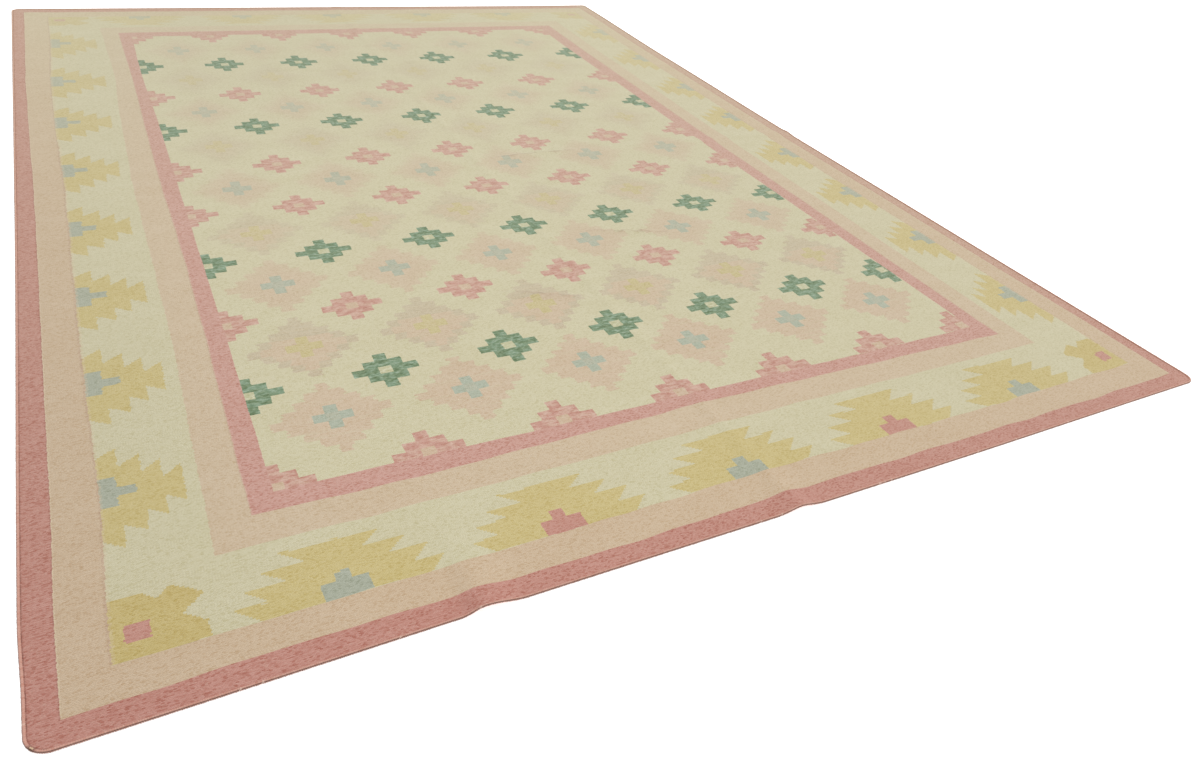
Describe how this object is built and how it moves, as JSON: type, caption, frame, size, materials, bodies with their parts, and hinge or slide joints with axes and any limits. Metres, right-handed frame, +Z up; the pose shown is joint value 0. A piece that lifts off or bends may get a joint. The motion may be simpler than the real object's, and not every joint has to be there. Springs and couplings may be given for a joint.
{
  "type": "kilim rug",
  "caption": "Large flat-woven wool kilim rug in cream, rose and green, with stepped crosses, a bordered field and a whipped edge, lying flat on the floor.",
  "frame": {"origin": "middle of the rug's own box, on the floor that it lies on", "axes": "+Z up from the floor, +Y along the rug from its near end to its far end, +X across it"},
  "size_m": [2.714, 3.701, 0.0178],
  "materials": {
    "woven_wool": "matte weft-faced flat weave, ribbed, cream with rose, peach, yellow, green and pale blue motifs",
    "edge_yarn": "matte overcast wool yarn in salmon rose"
  },
  "bodies": {
    "root": {"kilim_cloth": "woven_wool", "edge_binding": "edge_yarn"}
  },
  "joints": []
}
